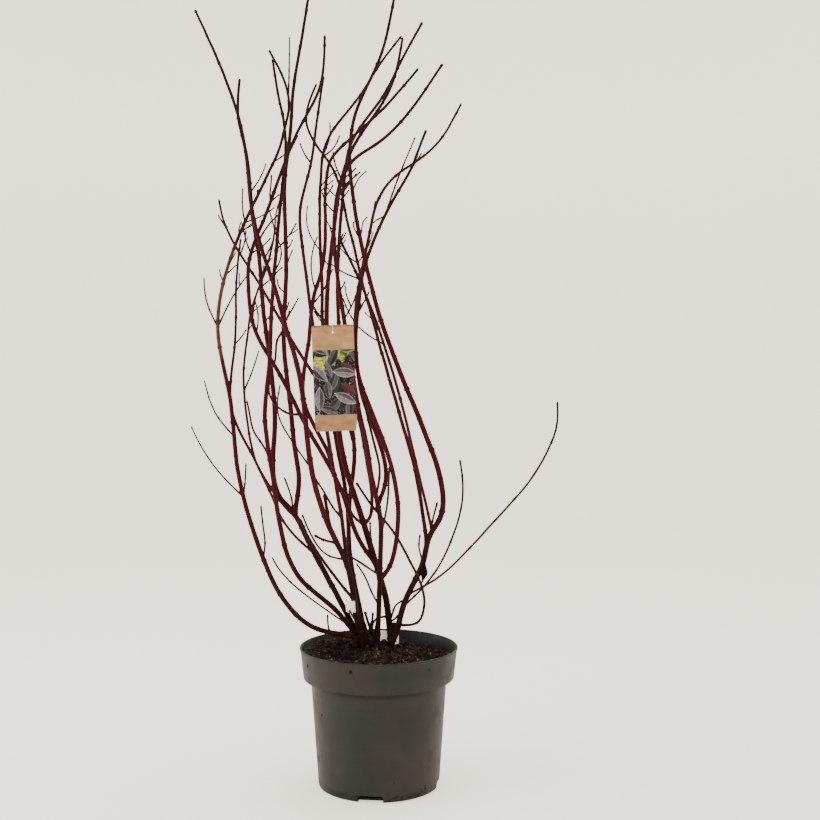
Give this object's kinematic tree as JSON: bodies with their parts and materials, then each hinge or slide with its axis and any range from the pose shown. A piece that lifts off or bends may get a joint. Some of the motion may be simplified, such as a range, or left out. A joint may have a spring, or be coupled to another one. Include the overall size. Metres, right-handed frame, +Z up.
{
  "type": "potted tatarian dogwood",
  "caption": "Bare winter dogwood shrub: bowed dark red stems with fine twigs rising from a low crown in a round dark grey nursery pot of compost, with a kraft card tag.",
  "frame": {"origin": "middle of the pot's flat underside", "axes": "+Z up, -Y towards the front, where the tag hangs, +X to the right as seen from the front"},
  "size_m": [0.6821, 0.3834, 1.4596],
  "materials": {
    "pot_plastic": "satin",
    "compost": "matte",
    "stem_bark": "satin",
    "twig_bark": "satin",
    "tag_card": "matte",
    "tie_film": "satin"
  },
  "bodies": {
    "root": {"bough_a_lower": "stem_bark", "bough_a_upper": "stem_bark", "bough_b_lower": "stem_bark", "bough_b_upper": "stem_bark", "bough_c_lower": "stem_bark", "bough_c_upper": "stem_bark", "bough_d": "stem_bark", "bough_e": "stem_bark", "bough_f": "stem_bark", "bough_g": "stem_bark", "bough_h": "stem_bark", "bough_i": "stem_bark", "bough_j_lower": "stem_bark", "bough_j_upper": "stem_bark", "bough_k_lower": "stem_bark", "bough_k_upper": "stem_bark", "bough_l_lower": "stem_bark", "bough_l_upper": "stem_bark", "bough_m": "stem_bark", "bough_n": "stem_bark", "bough_o_lower": "stem_bark", "bough_o_upper": "stem_bark", "bough_p": "stem_bark", "bough_q": "stem_bark", "bough_s_lower": "stem_bark", "bough_s_upper": "stem_bark", "bough_t": "stem_bark", "bough_u": "stem_bark", "pot": "pot_plastic", "shoot_arching": "stem_bark", "shoot_inner": "stem_bark", "shoot_long": "stem_bark", "shoot_low": "stem_bark", "shoot_middle": "stem_bark", "shoot_upright": "stem_bark", "soil": "compost", "spray_a": "twig_bark", "spray_b": "twig_bark", "spray_c": "twig_bark", "spray_d": "twig_bark", "spray_e": "twig_bark", "spray_f": "twig_bark", "spray_g": "twig_bark", "spray_h": "twig_bark", "spray_i": "twig_bark", "spray_j": "twig_bark", "spray_k": "twig_bark", "spray_l": "twig_bark", "spray_m": "twig_bark", "spray_n": "twig_bark", "spray_o": "twig_bark", "spray_p": "twig_bark", "spray_q": "twig_bark", "spray_s": "twig_bark", "spray_t": "twig_bark", "spray_u": "twig_bark", "stool_left": "stem_bark", "stool_right": "stem_bark", "tag": "tag_card", "tag_tie": "tie_film"}
  },
  "joints": []
}
